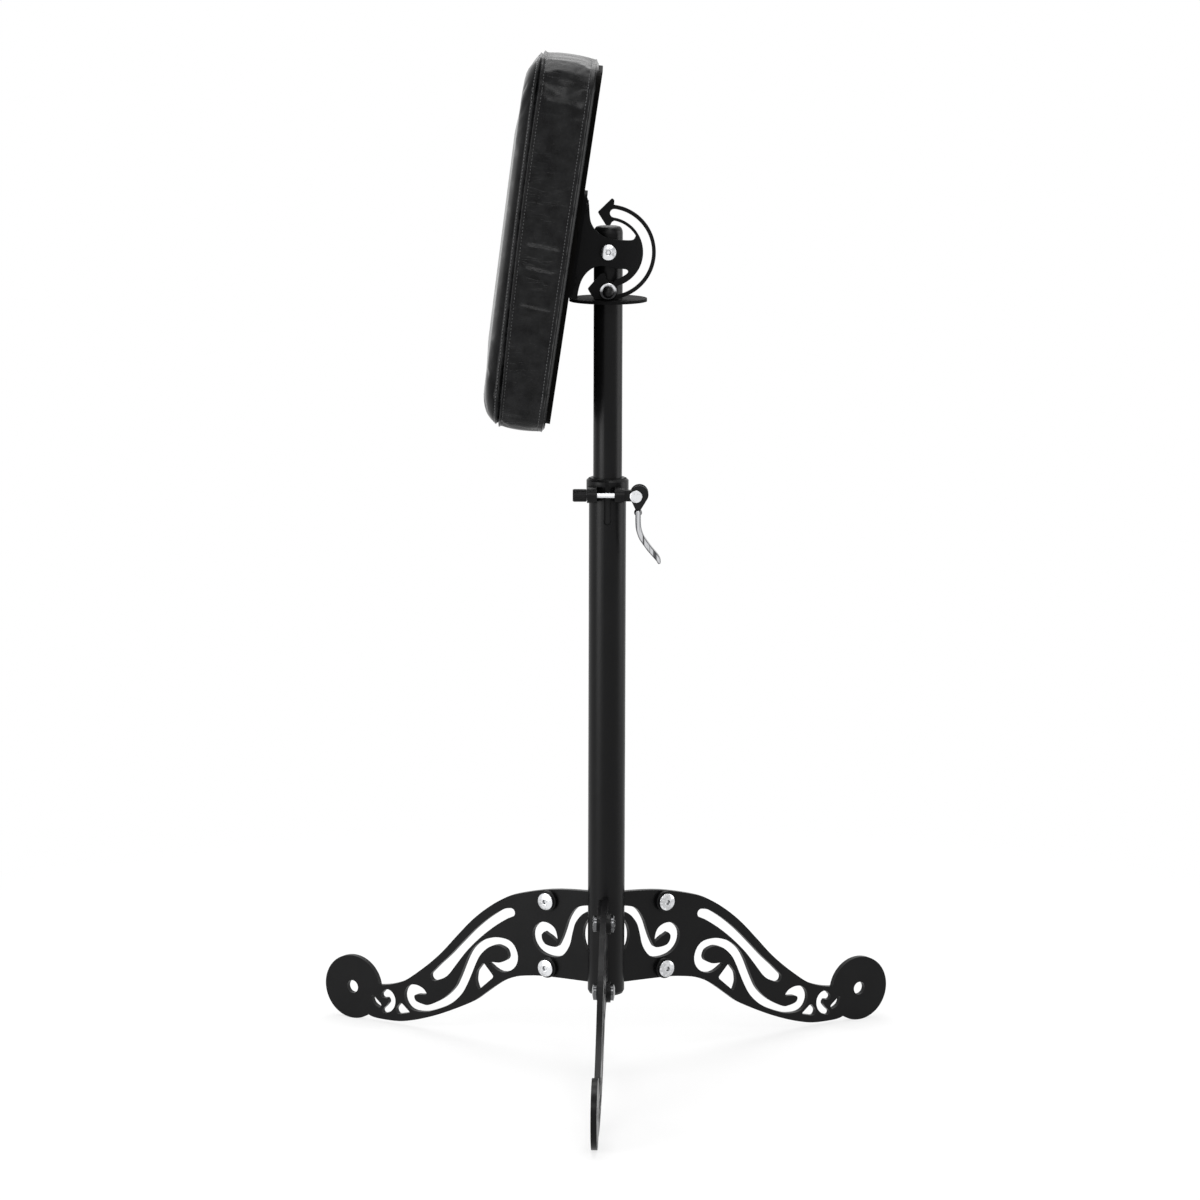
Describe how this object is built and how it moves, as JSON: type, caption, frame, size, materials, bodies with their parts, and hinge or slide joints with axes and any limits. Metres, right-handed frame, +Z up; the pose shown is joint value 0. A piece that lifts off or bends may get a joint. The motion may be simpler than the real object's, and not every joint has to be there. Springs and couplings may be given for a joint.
{
  "type": "tattoo arm rest stand",
  "caption": "Height-adjustable tripod arm rest: scroll-cut legs, telescoping mast with quick-release clamp, slotted arrow tilt plate and padded board.",
  "frame": {"origin": "on the column's axis, at the level of the floor that the three feet stand on", "axes": "+Z up along the column; the front leg points along -Y; at rest the pad stands on the -X side"},
  "size_m": [0.6082, 0.5266, 1.0452],
  "materials": {
    "powder_coat": "satin",
    "chrome": "polished",
    "black_plastic": "matte",
    "pad_cover": "semi-gloss grained",
    "pad_board": "black stained"
  },
  "bodies": {
    "base": {"outer_tube": "powder_coat", "tube_plug": "black_plastic", "leg_front": "powder_coat", "leg_left": "powder_coat", "leg_right": "powder_coat", "leg_lugs_upper": "powder_coat", "leg_lugs_lower": "powder_coat", "leg_bolts": "chrome", "leg_collars": "black_plastic", "leg_nuts": "chrome", "clamp_collar": "powder_coat", "clamp_skewer": "chrome", "clamp_washer": "chrome", "clamp_saddle": "black_plastic", "clamp_pin": "chrome"},
    "clamp_nut": {"clamp_nut": "black_plastic"},
    "lever": {"clamp_cam": "black_plastic", "clamp_lever": "chrome"},
    "bushing": {"tube_bushing": "black_plastic"},
    "mast": {"inner_tube": "powder_coat", "guide_ring": "black_plastic", "mast_cap": "black_plastic", "stop_disc": "powder_coat", "pivot_sleeve": "chrome", "pivot_spacers": "black_plastic", "lock_stud": "chrome", "lock_spacer": "black_plastic", "lock_flange": "chrome", "pivot_bolt": "chrome", "pivot_nut": "chrome"},
    "lock_knob": {"lock_knob": "black_plastic"},
    "head": {"tilt_plate": "powder_coat", "tilt_cheek": "powder_coat", "carrier_plate": "powder_coat", "carrier_screws": "powder_coat", "pad_board": "pad_board", "pad_cushion": "pad_cover"}
  },
  "joints": [
    {"name": "column_turn", "type": "hinge", "parent": "base", "child": "bushing", "pos_m": [0, 0, 0.6085], "axis": [0, 0, 1], "continuous": true},
    {"name": "mast_slide", "type": "slide", "parent": "bushing", "child": "mast", "axis": [0, 0, 1], "range_m": [-0.175, 0.12]},
    {"name": "head_tilt", "type": "hinge", "parent": "mast", "child": "head", "pos_m": [0, 0, 0.8461], "axis": [0, 1, 0], "range_deg": [0, 140]},
    {"name": "knob_turn", "type": "hinge", "parent": "mast", "child": "lock_knob", "pos_m": [0, -0.03, 0.8064], "axis": [0, 1, 0], "continuous": true},
    {"name": "lever_swing", "type": "hinge", "parent": "base", "child": "lever", "pos_m": [0.02896, -0.02705, 0.59875], "axis": [0, -1, 0], "range_deg": [0, 95]},
    {"name": "nut_turn", "type": "hinge", "parent": "base", "child": "clamp_nut", "pos_m": [-0.02815, -0.02705, 0.59875], "axis": [1, 0, 0], "continuous": true}
  ]
}
